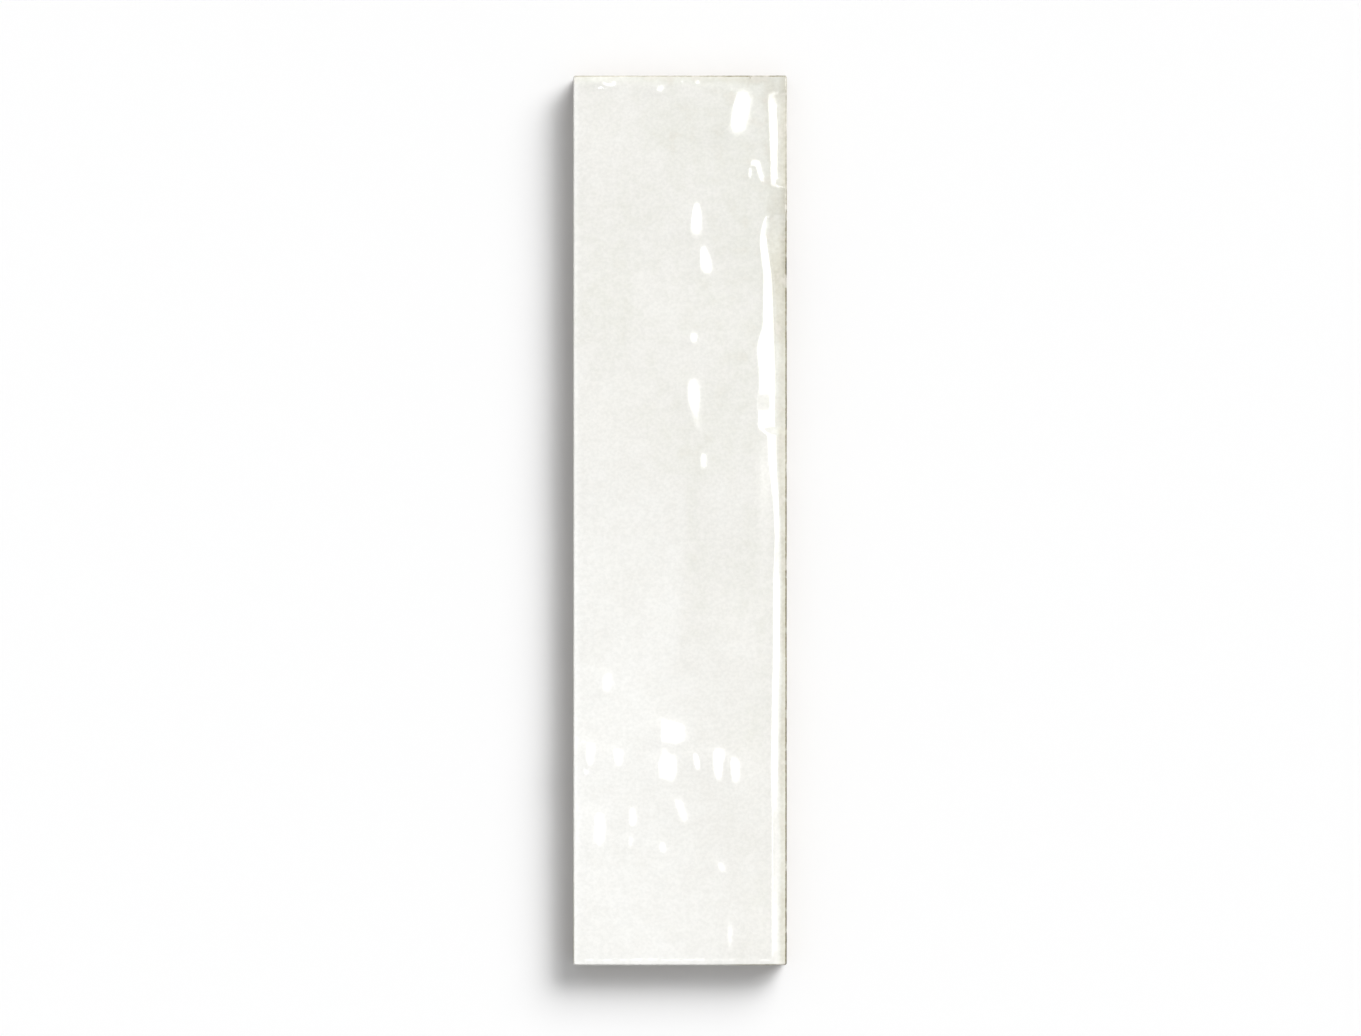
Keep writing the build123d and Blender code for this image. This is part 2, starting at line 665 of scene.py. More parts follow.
@dataclass(frozen=True)
class RibbedBack:
    """The unglazed back: shallow pockets between the ribs of a lattice."""

    outline: Outline
    rib_height: float = 0.7
    rib_width: float = 2.2
    border: float = 4.5
    pocket_pitch: float = 13.0
    pocket_draft: float = 30.0
    seam_inset: float = 1.7
    floor_waver: Waver = Waver(0.02, 40.0, 9.0, seed=23)
    floor_slant: float = 0.4  # lean of the two wavers of the pocket floors
    floor_cross: float = -0.3

    FLANK_LINES = 4  # lines of the grid over a flank
    FLOOR_LINES = 5  # lines over a pocket's floor, its ends included

    @property
    def flank(self) -> float:
        """Width of a pocket's sloping flank."""
        return self.rib_height * math.tan(math.radians(self.pocket_draft))

    def pockets(self, span: float) -> list[tuple[float, float]]:
        """Ends of each pocket over a span of the back.

        Args:
            span: width or length of the back.

        Returns:
            The low and the high end of each pocket.
        """
        lattice = span - 2 * self.border + self.rib_width
        count = round(lattice / self.pocket_pitch)
        pitch = lattice / count
        clear = pitch - self.rib_width
        middles = [pitch * (n - (count - 1) / 2) for n in range(count)]
        return [(middle - clear / 2, middle + clear / 2) for middle in middles]

    def lines(self, span: float) -> Grid:
        """Places of the grid's lines over a span, crowded on the flanks.

        Args:
            span: width or length of the back.

        Returns:
            The places, rising.
        """
        flank = np.linspace(0.0, self.flank, self.FLANK_LINES)
        edge = span / 2 - self.seam_inset
        places = [np.array([-edge, edge])]
        for low, high in self.pockets(span):
            places += [low + flank, high - flank]
            places += [np.linspace(low + self.flank, high - self.flank, self.FLOOR_LINES)[1:-1]]
        return np.sort(np.concatenate(places))

    def depth_share(self, span: float, place: Grid) -> Grid:
        """Depth over a span, from 0 on a rib to 1 on a pocket's floor.

        Args:
            span: width or length of the back.
            place: places over the span.

        Returns:
            The share of the full depth at each place.
        """
        share = np.zeros_like(place)
        for low, high in self.pockets(span):
            inside = np.minimum(place - low, high - place)
            share = np.maximum(share, ease(0.0, self.flank, inside))
        return share

    def surface(self) -> tuple[Grid, Grid, Grid]:
        """Points of the back on its grid, as places across, places along and heights.

        Returns:
            The places across, the places along and the heights, on one grid.
        """
        across = self.lines(self.outline.width)
        along = self.lines(self.outline.length)
        x, y = np.meshgrid(across, along, indexing="ij")
        share_across = self.depth_share(self.outline.width, x)
        share_along = self.depth_share(self.outline.length, y)
        share = np.minimum(share_across, share_along)
        uneven = self.floor_waver.along(x + self.floor_slant * y)
        uneven += self.floor_waver.along(y + self.floor_cross * x)
        return x, y, share * (self.rib_height + uneven)


@dataclass(frozen=True)
class Course:
    """One ring of points down the sides."""

    heights: Grid
    insets: Grid
    thin: float  # how thin the glaze lies there
    skin: Skin  # skin between this ring and the one above


@dataclass(frozen=True)
class Sides:
    """The drafted sides, with the glaze lapping unevenly over their upper part."""

    draft_height: float = 5.0
    draft: float = 1.5
    back_chamfer: float = 0.4
    glaze_thickness: float = 0.06
    lap_height: float = 7.3
    lap_waver: Waver = Waver(0.42, 47.0, 3.5, seed=31)
    lap_courses: tuple[tuple[float, float], ...] = (  # share of the way up the lap, thinness
        (0.85, 0.56),
        (0.66, 0.40),
        (0.33, 0.34),
    )
    lap_edge: tuple[tuple[float, float, float], ...] = (  # rise, share of the thickness, thinness
        (0.16, 0.0, 0.40),
        (0.05, 1 / 3, 0.50),
        (0.0, 1.0, 0.62),
    )
    body_heights: tuple[float, ...] = (3.6, 2.1)
    press_waver: Waver = Waver(0.012, 15.0, 2.5, seed=47)

    def taper(self, height: float) -> float:
        """How far the drafted side lies inside the outline at a height."""
        return max(0.0, self.draft_height - height) * math.tan(math.radians(self.draft))

    def courses(self, edge: Grid, place: Grid) -> list[Course]:
        """Rings of points down the side, from below the face's edge to the back.

        Args:
            edge: height of the face's edge round the tile.
            place: distance round the tile of each of its points.

        Returns:
            The rings in order.
        """
        lap = self.lap_height + self.lap_waver.along(place)
        flush = np.zeros_like(place)
        rings = []
        for share, thin in self.lap_courses:
            rings.append(Course(lap + (edge - lap) * share, flush, thin, Skin.GLAZE))
        for rise, share, thin in self.lap_edge:
            inset = flush + self.glaze_thickness * share
            rings.append(Course(lap + rise, inset, thin, Skin.GLAZE))
        press = np.abs(self.press_waver.along(place))
        for height in (self.draft_height, *self.body_heights, self.back_chamfer):
            inset = self.glaze_thickness + self.taper(height) + press
            rings.append(Course(np.full_like(place, height), inset, 1.0, Skin.BISCUIT))
        foot = self.glaze_thickness + self.taper(self.back_chamfer) + self.back_chamfer
        rings.append(Course(flush, flush + foot, 1.0, Skin.BISCUIT))
        return rings


class SkinMesh:
    """Gathers the points and faces of one closed skin."""

    def __init__(self) -> None:
        """Starts with no points."""
        self.points: list[Grid] = []
        self.count = 0
        self.faces: list[tuple[int, ...]] = []
        self.skins: list[int] = []

    def add_points(self, x: Grid, y: Grid, z: Grid) -> Numbers:
        """Adds points and gives their numbers, in the shape of x.

        Args:
            x: places across the tile.
            y: places along the tile.
            z: heights above the back.

        Returns:
            The number of each point.
        """
        self.points.append(np.stack([x, y, z], axis=-1).reshape(-1, 3))
        numbers = np.arange(self.count, self.count + x.size).reshape(x.shape)
        self.count += x.size
        return numbers

    def add_faces(self, corners: Numbers, skin: Skin) -> None:
        """Adds one face for each row of point numbers."""
        self.faces += [tuple(row) for row in corners.tolist()]
        self.skins += [skin.value] * len(corners)

    def add_grid(self, numbers: Numbers, skin: Skin, upwards: bool) -> None:
        """Adds the faces of a grid of points, facing up or down.

        Args:
            numbers: the points' numbers on their grid.
            skin: the skin of the faces.
            upwards: whether they face up.
        """
        a, b = numbers[:-1, :-1], numbers[1:, :-1]
        c, d = numbers[1:, 1:], numbers[:-1, 1:]
        order = (a, b, c, d) if upwards else (a, d, c, b)
        self.add_faces(np.stack([corner.ravel() for corner in order], axis=1), skin)

    def add_band(self, upper: Numbers, lower: Numbers, skin: Skin) -> None:
        """Adds the faces between two rings of as many points, facing outwards."""
        corners = [upper, lower, np.roll(lower, -1), np.roll(upper, -1)]
        self.add_faces(np.stack(corners, axis=1), skin)

    def add_seam(self, outer: Numbers, inner: Numbers, skin: Skin) -> None:
        """Adds triangles between two rings of unlike count, facing downwards.

        Args:
            outer: the outer ring, from the same corner and in the same sense as the inner.
            inner: the inner ring.
            skin: the skin of the triangles.
        """
        place_outer, place_inner = self.ring_shares(outer), self.ring_shares(inner)
        triangles = []
        i = j = 0
        while i < len(outer) or j < len(inner):
            if j == len(inner) or (i < len(outer) and place_outer[i + 1] <= place_inner[j + 1]):
                step = outer[(i + 1) % len(outer)]
                triangles.append((outer[i % len(outer)], inner[j % len(inner)], step))
                i += 1
            else:
                step = inner[(j + 1) % len(inner)]
                triangles.append((outer[i % len(outer)], inner[j % len(inner)], step))
                j += 1
        self.add_faces(np.array(triangles), skin)

    def ring_shares(self, ring: Numbers) -> Grid:
        """Share of the way round at each point of a ring, and 1 at its end.

        Args:
            ring: the points' numbers, in order.

        Returns:
            The shares, one more than the points.
        """
        points = np.concatenate(self.points)[np.append(ring, ring[0])]
        steps = np.linalg.norm(np.diff(points[:, :2], axis=0), axis=1)
        return np.concatenate([[0.0], np.cumsum(steps)]) / steps.sum()

    def to_mesh(self, name: str) -> bpy.types.Mesh:
        """Makes the Blender mesh, in metres.

        Args:
            name: the mesh's name.

        Returns:
            The new mesh.
        """
        mesh = bpy.data.meshes.new(name)
        mesh.from_pydata((np.concatenate(self.points) * MM).tolist(), [], self.faces)
        mesh.polygons.foreach_set("material_index", self.skins)
        mesh.update()
        return mesh


def border_of(numbers: Numbers) -> Numbers:
    """Point numbers round a grid, anticlockwise from above."""
    sides = (numbers[:-1, 0], numbers[-1, :-1], numbers[:0:-1, -1], numbers[0, :0:-1])
    return np.concatenate(sides)


def keep_values(mesh: bpy.types.Mesh, name: str, values: Grid) -> None:
    """Keeps a value for each point of a mesh, under a name."""
    mesh.attributes.new(name, "FLOAT", "POINT").data.foreach_set("value", values)


class Wiring:
    """Adds nodes to a tree and links them."""

    def __init__(self, tree: bpy.types.NodeTree) -> None:
        """Keeps the tree."""
        self.tree = tree

    def add(self, kind: str, **inputs: object) -> bpy.types.Node:
        """Adds a node and sets or links its inputs.

        Args:
            kind: the node's type.
            inputs: a value or an output socket for each input, with _ for a space.

        Returns:
            The new node.
        """
        node = self.tree.nodes.new(kind)
        for name, value in inputs.items():
            self.feed(node.inputs[name.replace("_", " ")], value)
        return node

    def feed(self, socket: bpy.types.NodeSocket, value: object) -> None:
        """Links an output socket to an input, or sets a plain value there.

        Args:
            socket: the input.
            value: an output socket, a number or a colour.
        """
        if isinstance(value, bpy.types.NodeSocket):
            self.tree.links.new(value, socket)
        elif socket.type == "RGBA":
            socket.default_value = (*value, 1.0)
        else:
            socket.default_value = value

    def mixed(
        self, share: object, low: object, high: object, blend: str = "MIX"
    ) -> bpy.types.NodeSocket:
        """Mixes two colours.

        Args:
            share: share of the second colour.
            low: the first colour.
            high: the second colour.
            blend: the way of mixing.

        Returns:
            The mixed colour.
        """
        node = self.tree.nodes.new("ShaderNodeMix")
        node.data_type = "RGBA"
        node.blend_type = blend
        self.feed(node.inputs["Factor"], share)
        self.feed(node.inputs[6], low)
        self.feed(node.inputs[7], high)
        return node.outputs[2]

    def worked(
        self, operation: str, first: object, second: object, clamp: bool = False
    ) -> bpy.types.NodeSocket:
        """Works out a sum or a product of two values.

        Args:
            operation: the kind of sum.
            first: the first value.
            second: the second value.
            clamp: whether the result is kept between 0 and 1.

        Returns:
            The result.
        """
        node = self.tree.nodes.new("ShaderNodeMath")
        node.operation = operation
        node.use_clamp = clamp
        self.feed(node.inputs[0], first)
        self.feed(node.inputs[1], second)
        return node.outputs[0]

    def summed(self, first: object, second: object) -> bpy.types.NodeSocket:
        """Adds two values."""
        return self.worked("ADD", first, second)

    def multiplied(self, first: object, second: object) -> bpy.types.NodeSocket:
        """Multiplies two values."""
        return self.worked("MULTIPLY", first, second)

    def ranged(self, value: object, source: Span, target: Span) -> bpy.types.NodeSocket:
        """Maps a value smoothly from one range to another.

        Args:
            value: the value.
            source: the range that it comes from.
            target: the range that it goes to.

        Returns:
            The mapped value.
        """
        node = self.tree.nodes.new("ShaderNodeMapRange")
        node.interpolation_type = "SMOOTHSTEP"
        self.feed(node.inputs["Value"], value)
        for name, limit in zip(("From Min", "From Max", "To Min", "To Max"), (*source, *target)):
            self.feed(node.inputs[name], limit)
        return node.outputs["Result"]

    def grouped(self, group: bpy.types.NodeTree, **inputs: object) -> bpy.types.Node:
        """Places a node group and sets or links its inputs.

        Args:
            group: the group.
            inputs: a value or an output socket for each input, with _ for a space.

        Returns:
            The group's node.
        """
        node = self.tree.nodes.new("ShaderNodeGroup")
        node.node_tree = group
        for name, value in inputs.items():
            self.feed(node.inputs[name.replace("_", " ")], value)
        return node

    def kept(self, name: str) -> bpy.types.NodeSocket:
        """Reads a value that the mesh keeps for each of its points.

        Args:
            name: the value's name.

        Returns:
            The value.
        """
        node = self.tree.nodes.new("ShaderNodeAttribute")
        node.attribute_name = name
        return node.outputs["Fac"]

    def surfaced(self, shader: bpy.types.Node) -> None:
        """Gives a shader to the material's output."""
        output = self.add("ShaderNodeOutputMaterial", Surface=shader.outputs["BSDF"])
        output.is_active_output = True


def new_material(name: str) -> tuple[bpy.types.Material, Wiring]:
    """Starts a material with an empty node tree.

    Args:
        name: the material's name.

    Returns:
        The material and its wiring.
    """
    material = bpy.data.materials.new(name)
    material.use_nodes = True
    material.node_tree.nodes.clear()
    return material, Wiring(material.node_tree)


def new_group(
    name: str, inputs: dict[str, str], outputs: dict[str, str]
) -> tuple[Wiring, bpy.types.Node, bpy.types.Node]:
    """Starts a shader node group.

    Args:
        name: the group's name.
        inputs: socket type of each input.
        outputs: socket type of each output.

    Returns:
        Its wiring, its input node and its output node.
    """
    tree = bpy.data.node_groups.new(name, "ShaderNodeTree")
    for way, sockets in (("INPUT", inputs), ("OUTPUT", outputs)):
        for label, kind in sockets.items():
            tree.interface.new_socket(label, in_out=way, socket_type=kind)
    wiring = Wiring(tree)
    return wiring, wiring.add("NodeGroupInput"), wiring.add("NodeGroupOutput")


def clouding_group() -> bpy.types.NodeTree:
    """Soft clouds of tone.

    Returns:
        A group whose Mask runs from 0 to 1.
    """
    numbers = dict.fromkeys(("Scale", "Contrast"), "NodeSocketFloat")
    inputs = {"Vector": "NodeSocketVector", **numbers}
    wiring, given, result = new_group("fired_clouding", inputs, {"Mask": "NodeSocketFloat"})
    noise = wiring.add(
        "ShaderNodeTexNoise",
        Vector=given.outputs["Vector"],
        Scale=given.outputs["Scale"],
        Detail=4.0,
        Roughness=0.55,
    )
    centred = wiring.summed(noise.outputs["Fac"], -0.5)
    stretched = wiring.multiplied(centred, given.outputs["Contrast"])
    wiring.feed(result.inputs["Mask"], wiring.worked("ADD", stretched, 0.5, clamp=True))
    return wiring.tree


def speck_group() -> bpy.types.NodeTree:
    """Sparse fired specks.

    Returns:
        A group whose Mask is 1 in a speck and 0 outside it.
    """
    numbers = dict.fromkeys(("Scale", "Size"), "NodeSocketFloat")
    inputs = {"Vector": "NodeSocketVector", **numbers}
    wiring, given, result = new_group("kiln_specks", inputs, {"Mask": "NodeSocketFloat"})
    place = given.outputs["Vector"]
    cells = wiring.add("ShaderNodeTexVoronoi", Vector=place, Scale=given.outputs["Scale"])
    split = wiring.add("ShaderNodeSeparateColor", Color=cells.outputs["Color"])
    radius = wiring.multiplied(split.outputs["Red"], given.outputs["Size"])
    inside = wiring.add(
        "ShaderNodeMapRange", Value=cells.outputs["Distance"], From_Min=radius, From_Max=0.0
    )
    wiring.feed(result.inputs["Mask"], inside.outputs["Result"])
    return wiring.tree


@dataclass(frozen=True)
class GlazeFinish:
    """Milky gloss glaze that turns beige and then olive where it thins."""

    thick: Colour = (0.938, 0.935, 0.905)
    face: Colour = (0.867, 0.8575, 0.8155)
    green: Colour = (0.816, 0.8155, 0.755)
    beige: Colour = (0.670, 0.652, 0.565)
    olive: Colour = (0.200, 0.175, 0.090)
    bare: Colour = (0.085, 0.070, 0.030)
    blush: Colour = (0.800, 0.770, 0.705)
    sand: Colour = (0.853, 0.860, 0.858)
    speck: Colour = (0.360, 0.320, 0.220)
    gloss: float = 0.055
    satin: float = 0.065
    dull: float = 0.88  # roughness that a dull spot adds
    satin_span: Span = (0.030, -0.045)  # metres along the tile, from gloss to satin
    ior: float = 1.5
    peel_depth: float = 0.0015 * MM
    broad_swing: float = 0.06  # how far the clouds of tone change the glaze's thinness
    blotch_swing: float = 0.04
    drawn_off: Span = (0.27, 0.45)  # thinness at which the body starts to show
    edge: Span = (0.58, 0.85)  # thinness of an arris
    edge_mottling: Span = (0.02, 0.25)
    blush_blotch: Span = (0.55, 0.95)
    blush_share: float = 0.6
    sand_share: float = 0.45

    def stops(self) -> tuple[tuple[float, Colour], ...]:
        """Colour of the glaze at rising thinness."""
        return (
            (0.0, self.thick),
            (0.25, self.face),
            (0.38, self.green),
            (0.55, self.beige),
            (0.80, self.olive),
            (1.0, self.bare),
        )

    def ramp(self, wiring: Wiring, thin: bpy.types.NodeSocket) -> bpy.types.NodeSocket:
        """Colours the glaze by its thinness.

        Args:
            wiring: the material's wiring.
            thin: how thin the glaze lies.

        Returns:
            The colour.
        """
        ramp = wiring.tree.nodes.new("ShaderNodeValToRGB")
        stops = self.stops()
        while len(ramp.color_ramp.elements) < len(stops):
            ramp.color_ramp.elements.new(1.0)
        for element, (position, colour) in zip(ramp.color_ramp.elements, stops):
            element.position = position
            element.color = (*colour, 1.0)
        wiring.feed(ramp.inputs["Fac"], thin)
        return ramp.outputs["Color"]

    def material(
        self, clouding: bpy.types.NodeTree, specks: bpy.types.NodeTree
    ) -> bpy.types.Material:
        """Makes the material.

        Args:
            clouding: the group of tone clouds.
            specks: the group of specks.

        Returns:
            The glaze material.
        """
        material, wiring = new_material("glaze")
        place = wiring.add("ShaderNodeTexCoord").outputs["Object"]
        # the glaze's thinness, with painted shade, a painted reflection edge and broad lighter and
        # darker parts in it
        thin = wiring.kept(THIN_GLAZE_AND_SHADE)
        broad = wiring.grouped(clouding, Vector=place, Scale=45.0, Contrast=2.0).outputs["Mask"]
        blotch = wiring.grouped(clouding, Vector=place, Scale=230.0, Contrast=2.4).outputs["Mask"]
        fine = wiring.grouped(clouding, Vector=place, Scale=1050.0, Contrast=2.4).outputs["Mask"]
        stains = wiring.grouped(specks, Vector=place, Scale=150.0, Size=0.055).outputs["Mask"]

        drawn = thin
        for clouds, swing in ((broad, self.broad_swing), (blotch, self.blotch_swing)):
            drawn = wiring.summed(drawn, wiring.ranged(clouds, WHOLE, (-swing, swing)))
        bared = wiring.ranged(drawn, self.drawn_off, WHOLE)
        mottling = wiring.ranged(thin, self.edge, self.edge_mottling)
        drawn = wiring.summed(drawn, wiring.multiplied(wiring.summed(fine, -0.5), mottling))
        warm = wiring.ranged(blotch, self.blush_blotch, (0.0, self.blush_share))
        flushed = wiring.mixed(wiring.multiplied(warm, bared), self.ramp(wiring, drawn), self.blush)
        grain = wiring.ranged(fine, WHOLE, (0.0, self.sand_share))
        sanded = wiring.mixed(grain, flushed, self.sand, "MULTIPLY")
        flecked = wiring.mixed(wiring.multiplied(stains, bared), sanded, self.speck)

        split = wiring.add("ShaderNodeSeparateXYZ", Vector=place)
        melt = wiring.ranged(split.outputs["Y"], self.satin_span, (self.gloss, self.satin))
        melt = wiring.summed(melt, wiring.multiplied(wiring.kept(DULL_GLAZE), self.dull))
        peel = wiring.add("ShaderNodeBump", Strength=1.0, Distance=self.peel_depth, Height=fine)
        shader = wiring.add(
            "ShaderNodeBsdfPrincipled",
            Base_Color=flecked,
            Roughness=melt,
            IOR=self.ior,
            Normal=peel.outputs["Normal"],
        )
        wiring.surfaced(shader)
        return material


@dataclass(frozen=True)
class BiscuitFinish:
    """Bare fired body of the sides and back, buff with dark grains."""

    pale: Colour = (0.240, 0.207, 0.167)
    warm: Colour = (0.185, 0.150, 0.114)
    grain: Colour = (0.080, 0.063, 0.046)
    roughness: Span = (0.72, 0.92)
    grain_depth: float = 0.06 * MM
    warm_clouds: Span = (0.2, 0.9)
    warm_share: float = 0.8
    sandy_clouds: Span = (0.2, 1.0)
    sandy_share: float = 0.35
    grain_masks: Span = (0.0, 0.6)
    grain_share: float = 0.55

    def material(
        self, clouding: bpy.types.NodeTree, specks: bpy.types.NodeTree
    ) -> bpy.types.Material:
        """Makes the material.

        Args:
            clouding: the group of tone clouds.
            specks: the group of specks.

        Returns:
            The biscuit material.
        """
        material, wiring = new_material("biscuit")
        place = wiring.add("ShaderNodeTexCoord").outputs["Object"]
        broad = wiring.grouped(clouding, Vector=place, Scale=55.0, Contrast=2.0).outputs["Mask"]
        fine = wiring.grouped(clouding, Vector=place, Scale=1400.0, Contrast=2.4).outputs["Mask"]
        grains = wiring.grouped(specks, Vector=place, Scale=420.0, Size=0.22).outputs["Mask"]
        warmth = wiring.ranged(broad, self.warm_clouds, (0.0, self.warm_share))
        fired = wiring.mixed(warmth, self.pale, self.warm)
        sand = wiring.ranged(fine, self.sandy_clouds, (0.0, self.sandy_share))
        sandy = wiring.mixed(sand, fired, self.warm)
        flecks = wiring.ranged(grains, self.grain_masks, (0.0, self.grain_share))
        flecked = wiring.mixed(flecks, sandy, self.grain)
        rough = wiring.ranged(fine, WHOLE, self.roughness)
        bump = wiring.add("ShaderNodeBump", Strength=0.6, Distance=self.grain_depth, Height=fine)
        shader = wiring.add(
            "ShaderNodeBsdfPrincipled",
            Base_Color=flecked,
            Roughness=rough,
            Normal=bump.outputs["Normal"],
        )
        wiring.surfaced(shader)
        return material


@dataclass
class GlazedTile:
    """The whole tile: glazed face, sides and ribbed back in one closed skin."""

    outline: Outline
    glaze: GlazeFinish = field(default_factory=GlazeFinish)
    biscuit: BiscuitFinish = field(default_factory=BiscuitFinish)
    piece: bpy.types.Object | None = None

    SHARP_ANGLE = 38.0  # degrees; a sharper edge isn't shaded round

    def build(self) -> None:
        """Builds the skin and puts it in the scene."""
        face = GlazedFace(self.outline)
        skin = SkinMesh()
        x, y, z = face.surface()
        top = skin.add_points(x, y, z)
        skin.add_grid(top, Skin.GLAZE, upwards=True)
        back = skin.add_points(*RibbedBack(self.outline).surface())
        skin.add_grid(back, Skin.BISCUIT, upwards=False)

        ring = border_of(top)
        edge_x, edge_y, edge_z = x.ravel()[ring], y.ravel()[ring], z.ravel()[ring]
        out_x, out_y = self.outline.outward(edge_x, edge_y)
        steps = np.hypot(np.diff(edge_x, prepend=edge_x[0]), np.diff(edge_y, prepend=edge_y[0]))
        thin = [GlazeLieAndShade(face).thinness(x, y).ravel(), np.ones(back.size)]
        for course in Sides().courses(edge_z, np.cumsum(steps)):
            course_x = edge_x - out_x * course.insets
            course_y = edge_y - out_y * course.insets
            lower = skin.add_points(course_x, course_y, course.heights)
            skin.add_band(ring, lower, course.skin)
            thin.append(np.full(lower.size, course.thin))
            ring = lower
        skin.add_seam(ring, border_of(back), Skin.BISCUIT)

        mesh = skin.to_mesh("glazed_tile")
        keep_values(mesh, THIN_GLAZE_AND_SHADE, np.concatenate(thin))
        dull = np.zeros(skin.count)
        dull[: top.size] = DullSpot().dullness(x, y).ravel()
        keep_values(mesh, DULL_GLAZE, dull)
        mesh.shade_smooth()
        mesh.set_sharp_from_angle(angle=math.radians(self.SHARP_ANGLE))
        self.piece = bpy.data.objects.new("glazed_tile", mesh)
        bpy.context.scene.collection.objects.link(self.piece)

    def dress(self, clouding: bpy.types.NodeTree, specks: bpy.types.NodeTree) -> None:
        """Gives the skin its two finishes, in the order of Skin."""
        self.piece.data.materials.append(self.glaze.material(clouding, specks))
        self.piece.data.materials.append(self.biscuit.material(clouding, specks))

    def place(self) -> None:
        """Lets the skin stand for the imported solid."""
        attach(self.piece, BODY)
        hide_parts(NODE)


@dataclass(frozen=True)
class Feather:
    """How far in from each edge of a softbox its light grows from nothing, in degrees."""

    left: float = 0.0
    right: float = 0.0
    lower: float = 0.0
    upper: float = 0.0


@dataclass(frozen=True)
class Softbox:
    """A level panel of light high over the tile, given by the angles it spans.

    It shows in the gloss alone, and lights nothing else.
    """

    name: str
    across: Span  # degrees from upright towards +X
    along: Span  # degrees from upright towards +Y
    radiance: float
    feather: Feather = Feather()

    @staticmethod
    def reach(angles: Span, inset: Span) -> tuple[float, float, float, float]:
        """Places along a panel one metre up of its two edges and of the full light inside them.

        Args:
            angles: the angles of the two edges.
            inset: the feather of each edge.

        Returns:
            The low edge, the high edge, and the shares where the light is full.
        """
        low, high, low_full, high_full = (
            math.tan(math.radians(angle))
            for angle in (*angles, angles[0] + inset[0], angles[1] - inset[1])
        )
        return low, high, (low_full - low) / (high - low), (high_full - low) / (high - low)

    def build(self, height: float) -> None:
        """Hangs the panel at a height and feathers its edges.

        Args:
            height: metres above the floor.
        """
        edges = self.feather
        low_x, high_x, left, right = self.reach(self.across, (edges.left, edges.right))
        low_y, high_y, lower, upper = self.reach(self.along, (edges.lower, edges.upper))
        light = bpy.data.lights.new(self.name, "AREA")
        light.shape = "RECTANGLE"
        light.size = (high_x - low_x) * height
        light.size_y = (high_y - low_y) * height
        light.energy = self.radiance * math.pi * light.size * light.size_y
        self.fade(light, (left, right), (lower, upper))
        panel = bpy.data.objects.new(self.name, light)
        panel.location = ((low_x + high_x) / 2 * height, (low_y + high_y) / 2 * height, height)
        panel.visible_camera = False
        panel.visible_diffuse = False
        bpy.context.scene.collection.objects.link(panel)

    def fade(self, light: bpy.types.AreaLight, across: Span, along: Span) -> None:
        """Fades the panel's light out towards its edges.

        Args:
            light: the panel's light.
            across: shares of the width between which the light is full.
            along: shares of the length between which the light is full.
        """
        light.use_nodes = True
        wiring = Wiring(light.node_tree)
        place = wiring.add("ShaderNodeNewGeometry").outputs["Parametric"]
        split = wiring.add("ShaderNodeSeparateXYZ", Vector=place)
        strength: object = 1.0
        for axis, (low, high) in (("X", across), ("Y", along)):
            for edge, full in ((0.0, low), (1.0, high)):
                if edge != full:
                    grown = wiring.ranged(split.outputs[axis], (edge, full), WHOLE)
                    strength = wiring.multiplied(grown, strength)
        wiring.feed(light.node_tree.nodes["Emission"].inputs["Strength"], strength)


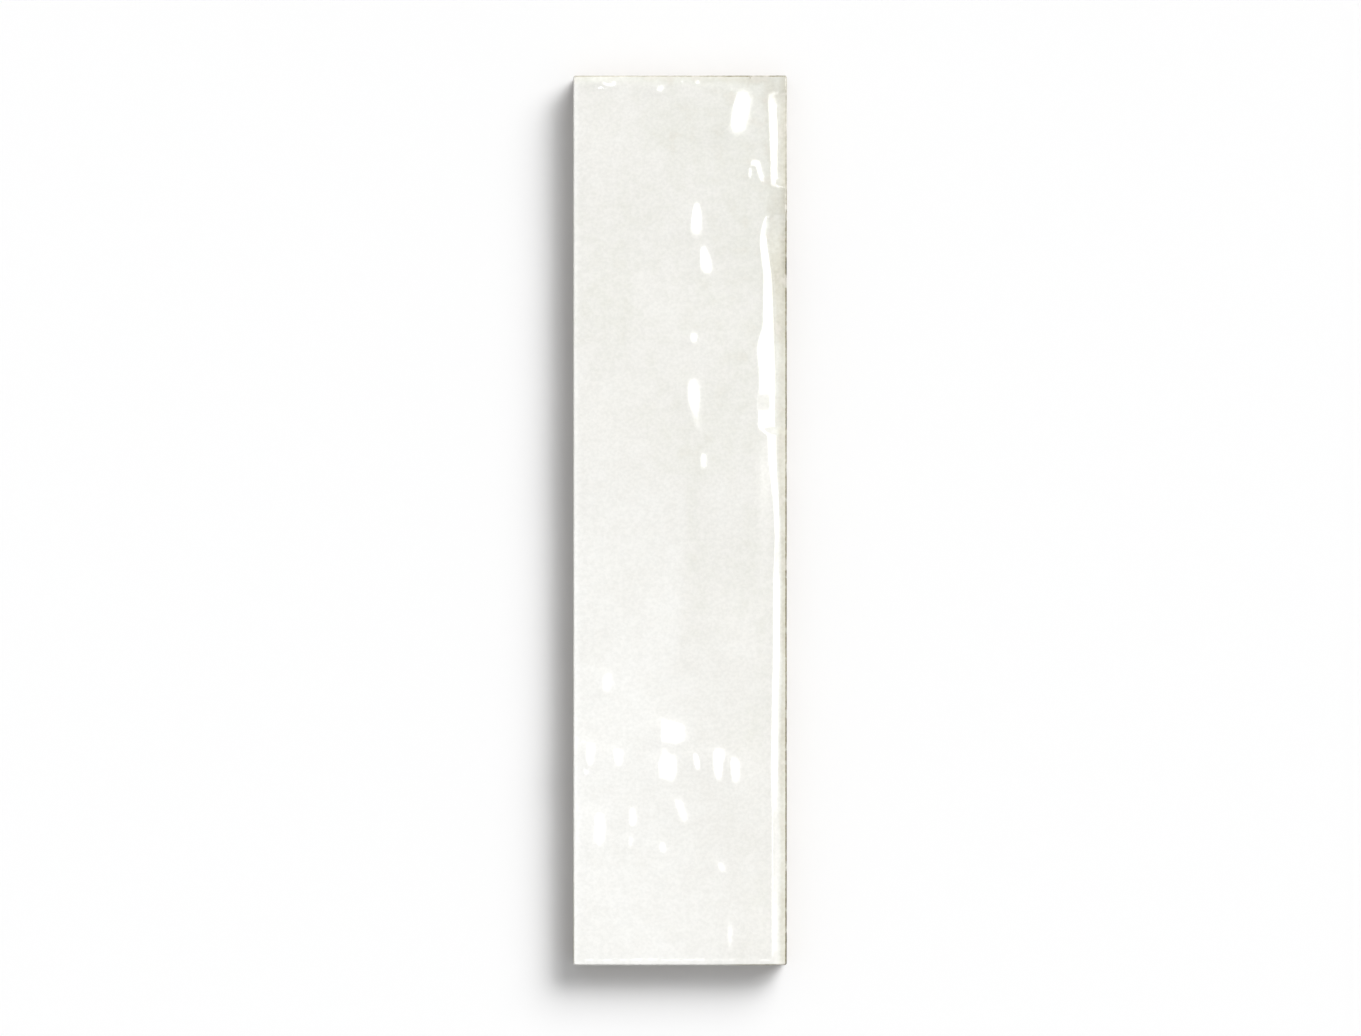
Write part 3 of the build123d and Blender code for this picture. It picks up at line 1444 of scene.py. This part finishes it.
@dataclass(frozen=True)
class Studio:
    """Pale floor, soft light and the camera straight above the tile."""

    image_width: int = 1361
    pixels_per_metre: float = 3556.0
    lens: float = 200.0
    sensor: float = 36.0
    sight: float = 100.0  # metres that the camera sees
    aim: tuple[float, float] = (0.00014, 0.00069)  # middle of the picture, in metres
    aim_height: float = 0.007
    floor_reach: float = 6.0
    floor_colour: Colour = (0.93, 0.93, 0.93)
    floor_roughness: float = 0.9
    sky: float = 0.445
    key_irradiance: float = 1.78
    key_rise: float = 33.6  # degrees above the floor
    key_bearings: tuple[float, ...] = (40.0, 60.0)  # degrees from +X towards +Y
    key_softness: float = 34.0
    softbox_height: float = 30.0
    softbox_step: float = 1.0  # the panels hang one above another, so that none hides the next
    softboxes: tuple[Softbox, ...] = (
        Softbox("right_strip", (3.2, 22.0), (-3.2, 9.0), 7.0, Feather(left=0.5, lower=4.2, upper=3.0)),
        Softbox("low_strip", (3.2, 7.5), (-9.0, -1.2), 5.0, Feather(left=1.4, right=0.5, lower=3.0)),
        Softbox("low_edge", (7.0, 19.0), (-4.8, -1.2), 2.6, Feather(left=0.5, lower=1.5)),
        Softbox("top_strip", (2.6, 6.5), (6.0, 17.0), 7.0, Feather(left=0.5, right=0.5, lower=3.0)),
        Softbox("right_glow", (2.2, 22.0), (-3.0, 9.0), 1.7, Feather(left=1.0, lower=2.0, upper=3.0)),
        Softbox("left_wall", (-75.0, 0.0), (-40.0, 40.0), 4.5, Feather(right=28.0)),
        Softbox("lower_wall", (-40.0, 40.0), (-75.0, 0.0), 3.6, Feather(upper=28.0)),
        Softbox("left_panel", (-12.0, 0.0), (-14.0, 14.0), 0.3, Feather(left=8.0)),
        Softbox("bottom_strip", (-1.5, 1.7), (-19.0, -14.0), 6.0),
    )

    def lay_floor(self) -> None:
        """Lays the floor under the ribs of the back."""
        reach = self.floor_reach
        mesh = bpy.data.meshes.new("floor")
        signs = ((-1, -1), (1, -1), (1, 1), (-1, 1))
        corners = [(reach * across, reach * along, 0.0) for across, along in signs]
        mesh.from_pydata(corners, [], [(0, 1, 2, 3)])
        material = bpy.data.materials.new("floor")
        material.use_nodes = True
        shader = material.node_tree.nodes["Principled BSDF"]
        shader.inputs["Base Color"].default_value = (*self.floor_colour, 1.0)
        shader.inputs["Roughness"].default_value = self.floor_roughness
        shader.inputs["Specular IOR Level"].default_value = 0.0
        mesh.materials.append(material)
        floor = bpy.data.objects.new("floor", mesh)
        bpy.context.scene.collection.objects.link(floor)

    def spread_sky(self) -> None:
        """Spreads a soft sky over the tile, which the camera sees as white."""
        world = bpy.data.worlds.new("sky")
        world.use_nodes = True
        wiring = Wiring(world.node_tree)
        world.node_tree.nodes.clear()
        dim = wiring.add("ShaderNodeBackground", Color=(1.0, 1.0, 1.0), Strength=self.sky)
        seen = wiring.add("ShaderNodeBackground", Color=(1.0, 1.0, 1.0), Strength=1.0)
        ray = wiring.add("ShaderNodeLightPath")
        blend = wiring.add("ShaderNodeMixShader", Fac=ray.outputs["Is Camera Ray"])
        wiring.feed(blend.inputs[1], dim.outputs["Background"])
        wiring.feed(blend.inputs[2], seen.outputs["Background"])
        wiring.add("ShaderNodeOutputWorld", Surface=blend.outputs["Shader"])
        bpy.context.scene.world = world

    def light(self) -> None:
        """Lights the tile with the keys from the upper right, and hangs the softboxes."""
        for bearing in self.key_bearings:
            sun = bpy.data.lights.new("key", "SUN")
            sun.energy = self.key_irradiance
            sun.angle = math.radians(self.key_softness)
            key = bpy.data.objects.new("key", sun)
            key.visible_glossy = False
            turn = (90.0 - self.key_rise, 0.0, 90.0 + bearing)
            key.rotation_euler = [math.radians(angle) for angle in turn]
            bpy.context.scene.collection.objects.link(key)
        for place, softbox in enumerate(self.softboxes):
            softbox.build(self.softbox_height + place * self.softbox_step)

    def stand_camera(self) -> None:
        """Stands the camera over the tile, with the length upright in the picture."""
        data = bpy.data.cameras.new("camera")
        data.lens = self.lens
        data.sensor_width = self.sensor
        distance = self.image_width / self.pixels_per_metre * self.lens / self.sensor
        data.clip_end = self.sight
        camera = bpy.data.objects.new("camera", data)
        camera.location = (*self.aim, self.aim_height + distance)
        bpy.context.scene.collection.objects.link(camera)
        bpy.context.scene.camera = camera

    def set_colours(self) -> None:
        """Shows colours as they are lit, with no film curve."""
        bpy.context.scene.view_settings.view_transform = "Standard"


def main() -> None:
    """Builds the tile, then the studio round it."""
    logging.basicConfig(level=logging.INFO, format="%(name)s: %(message)s")
    low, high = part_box(NODE)
    outline = Outline(width=(high.x - low.x) / MM, length=(high.y - low.y) / MM)
    tile = GlazedTile(outline)
    tile.build()
    tile.dress(clouding_group(), speck_group())
    tile.place()
    log.info("%s: %d faces", tile.piece.name, len(tile.piece.data.polygons))
    studio = Studio()
    studio.lay_floor()
    studio.spread_sky()
    studio.light()
    studio.stand_camera()
    studio.set_colours()
    log.info("studio: floor, keys, %d softboxes and camera", len(studio.softboxes))


if __name__ == "__main__":
    main()
